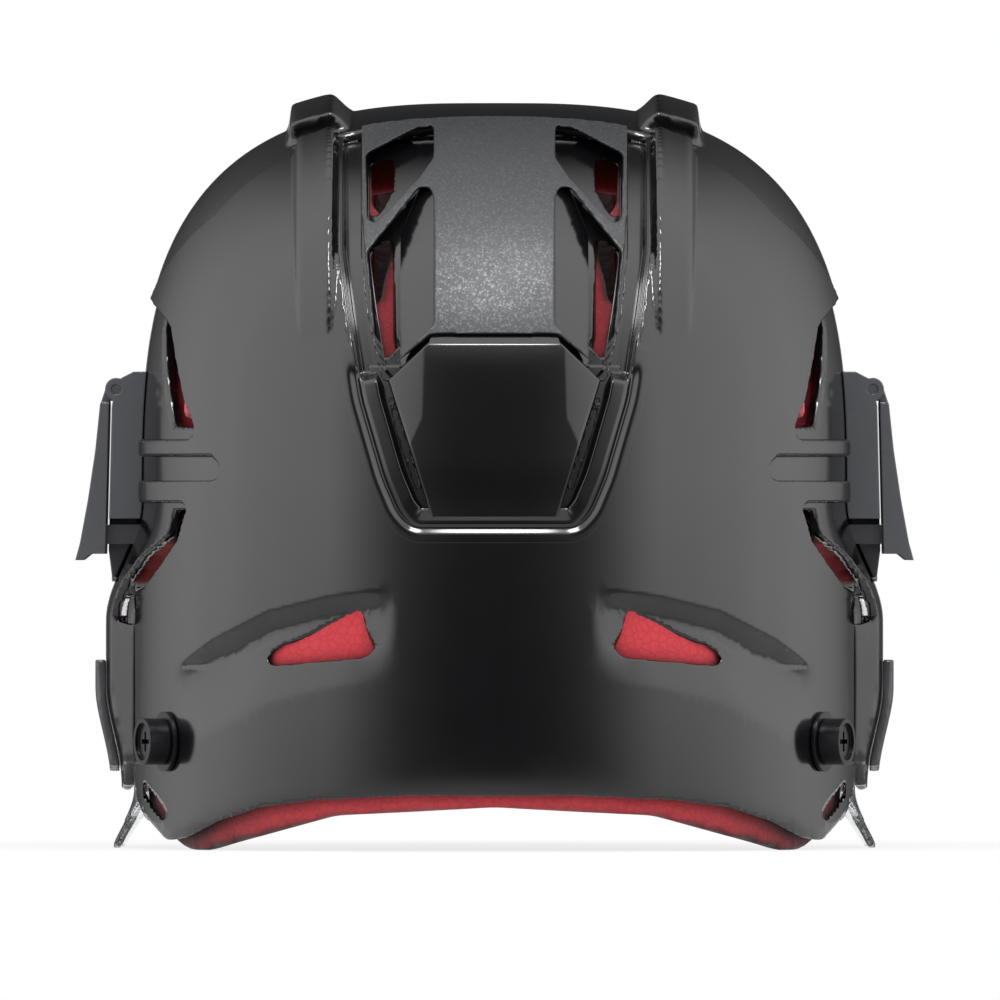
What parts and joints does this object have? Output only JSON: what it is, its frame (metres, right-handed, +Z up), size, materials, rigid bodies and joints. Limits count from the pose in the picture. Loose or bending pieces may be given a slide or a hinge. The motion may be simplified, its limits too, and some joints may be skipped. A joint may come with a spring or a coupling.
{
  "type": "ice hockey helmet",
  "caption": "Two-piece telescoping ice hockey helmet with vented black shells, foam liner, comfort pads, clear ear guards and flip-up size levers.",
  "frame": {"origin": "middle of the helmet's width and length, on the plane it stands on, at rest in its smallest size", "axes": "+Y to the wearer's front, +Z up, +X to the wearer's right; the pictured back faces -Y"},
  "size_m": [0.2138, 0.244, 0.1929],
  "materials": {
    "shell_black": "gloss injection-moulded shell plastic",
    "vent_grey": "metal-flake grey plastic",
    "foam_red": "closed-cell impact foam",
    "guard_clear": "clear polycarbonate",
    "anchor_black": "fine-textured plastic",
    "lever_grey": "satin dark grey plastic",
    "lock_black": "plain acetal",
    "pin_steel": "drawn and plated steel",
    "screw_black": "black oxide on steel",
    "pad_black": "soft comfort foam with a fabric skin"
  },
  "bodies": {
    "front": {"front_shell": "shell_black", "front_liner": "foam_red", "left_ear_guard": "guard_clear", "right_ear_guard": "guard_clear", "left_strap_anchor": "anchor_black", "right_strap_anchor": "anchor_black", "left_lever_base": "anchor_black", "right_lever_base": "anchor_black", "left_hinge_pin": "pin_steel", "right_hinge_pin": "pin_steel", "brow_screws": "screw_black", "brow_nuts": "pin_steel", "visor_nuts": "pin_steel", "brow_pad": "pad_black", "crown_pad": "pad_black", "left_temple_pad": "pad_black", "right_temple_pad": "pad_black"},
    "rear": {"rear_shell": "shell_black", "crown_insert": "vent_grey", "rear_liner": "foam_red", "strap_screws": "screw_black", "strap_washers": "screw_black", "strap_nuts": "pin_steel", "left_size_rack": "lock_black", "right_size_rack": "lock_black", "nape_pads": "pad_black", "back_pad": "pad_black"},
    "left_lever": {"left_size_lever": "lever_grey", "left_lever_pawl": "lock_black"},
    "right_lever": {"right_size_lever": "lever_grey", "right_lever_pawl": "lock_black"}
  },
  "joints": [
    {"name": "size_slide", "type": "slide", "parent": "front", "child": "rear", "axis": [0, -1, 0], "range_m": [0, 0.015]},
    {"name": "left_lever_hinge", "type": "hinge", "parent": "front", "child": "left_lever", "pos_m": [-0.0964, 0.002, 0.117], "axis": [0, 1, 0], "range_deg": [0, 85]},
    {"name": "right_lever_hinge", "type": "hinge", "parent": "front", "child": "right_lever", "pos_m": [0.0964, 0.002, 0.117], "axis": [0, -1, 0], "range_deg": [0, 85]}
  ]
}
